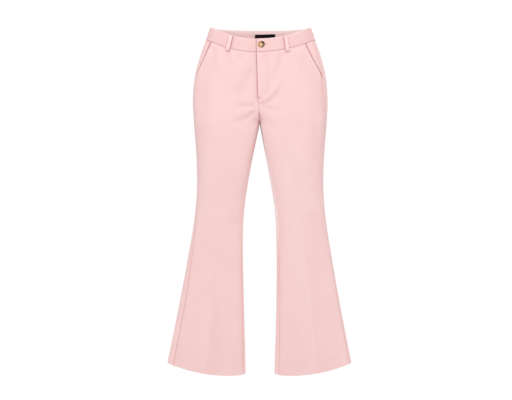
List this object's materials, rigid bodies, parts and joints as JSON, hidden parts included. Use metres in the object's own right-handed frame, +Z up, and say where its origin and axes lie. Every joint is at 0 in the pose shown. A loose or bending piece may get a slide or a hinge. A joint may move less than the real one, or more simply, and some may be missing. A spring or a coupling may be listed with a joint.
{
  "type": "bootcut trousers",
  "caption": "Hollow, filled-out pair of bootcut trousers with a contoured waistband, belt loops, fly, slanted pockets, pressed creases and flared hems, held at the waist.",
  "frame": {"origin": "middle of the waist, level with the waistband's top at the sides, where the wearer holds the trousers up", "axes": "+Z up along the wearer, -Y towards the wearer's front, +X towards the wearer's left"},
  "size_m": [0.5513, 0.1654, 1.042],
  "materials": {
    "cloth": "smooth matt suiting with a fine twill weave, pale pink",
    "tape": "woven zip tape, pink",
    "metal": "satin metal",
    "button": "polished mottled horn look, tan with a cream middle and dark patches",
    "tab": "black woven tape, bare"
  },
  "bodies": {
    "root": {"front_left": "cloth", "front_right": "cloth", "back_left": "cloth", "back_right": "cloth", "waistband_left": "cloth", "waistband_right": "cloth", "waistband_back": "cloth", "pocket_left": "cloth", "pocket_right": "cloth", "loop_front_left": "cloth", "loop_front_right": "cloth", "loop_back_left": "cloth", "loop_back_right": "cloth", "loop_back_centre": "cloth", "zip_tape": "tape", "zip_slider": "metal", "button": "button", "label": "tab"}
  },
  "joints": []
}
